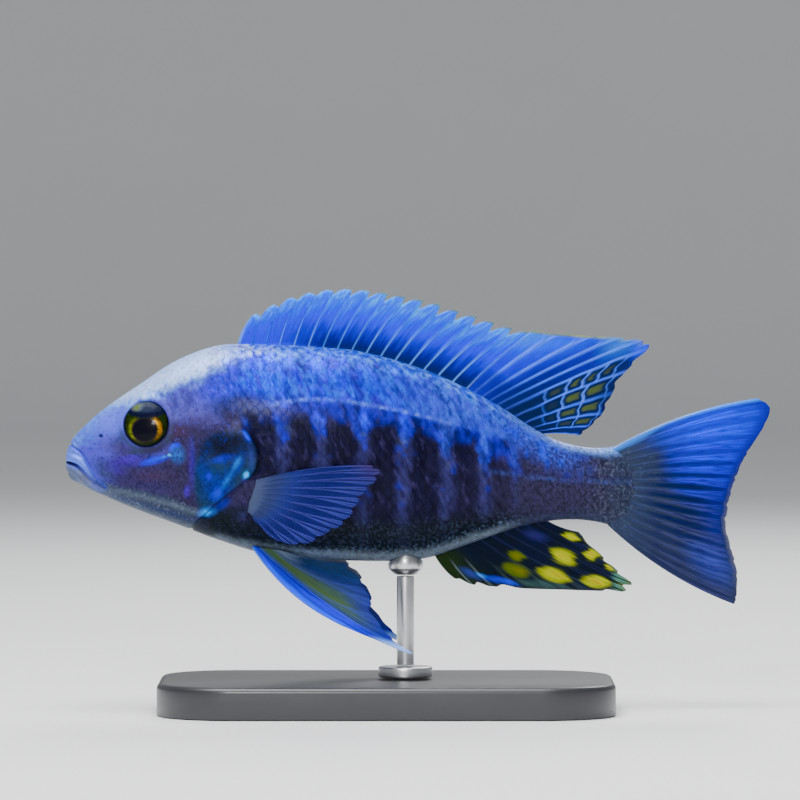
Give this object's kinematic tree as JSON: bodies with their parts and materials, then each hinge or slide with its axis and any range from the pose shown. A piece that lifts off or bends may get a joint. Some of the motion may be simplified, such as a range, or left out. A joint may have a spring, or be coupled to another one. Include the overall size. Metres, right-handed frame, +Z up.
{
  "type": "peacock cichlid model",
  "caption": "Life-size still model of a male peacock cichlid, fins spread, held level by a rod on a plain flat display base.",
  "frame": {"origin": "on the floor under the middle of the model's box, at the underside of the stand's base", "axes": "+X from the snout to the tail, +Y across the body from the left flank to the right one, +Z up"},
  "size_m": [0.13, 0.05, 0.0778],
  "materials": {
    "skin": "satin",
    "gill": "satin, iridescent",
    "lip": "satin",
    "eye": "polished",
    "dorsal": "satin",
    "anal": "satin",
    "tail": "satin",
    "paired": "satin",
    "base": "satin paint",
    "steel": "brushed"
  },
  "bodies": {
    "root": {"head": "skin", "jaw_upper": "lip", "jaw_lower": "lip", "gill_cover_left": "gill", "gill_cover_right": "gill", "torso": "skin", "tail_stalk": "skin", "eye_left": "eye", "eye_right": "eye", "dorsal_fin_spiny": "dorsal", "dorsal_fin_soft": "dorsal", "anal_fin": "anal", "tail_fin": "tail", "pectoral_fin_left": "paired", "pectoral_fin_right": "paired", "pelvic_fin_left": "paired", "pelvic_fin_right": "paired", "stand_base": "base", "stand_foot": "steel", "stand_rod": "steel", "stand_collar": "steel"}
  },
  "joints": []
}
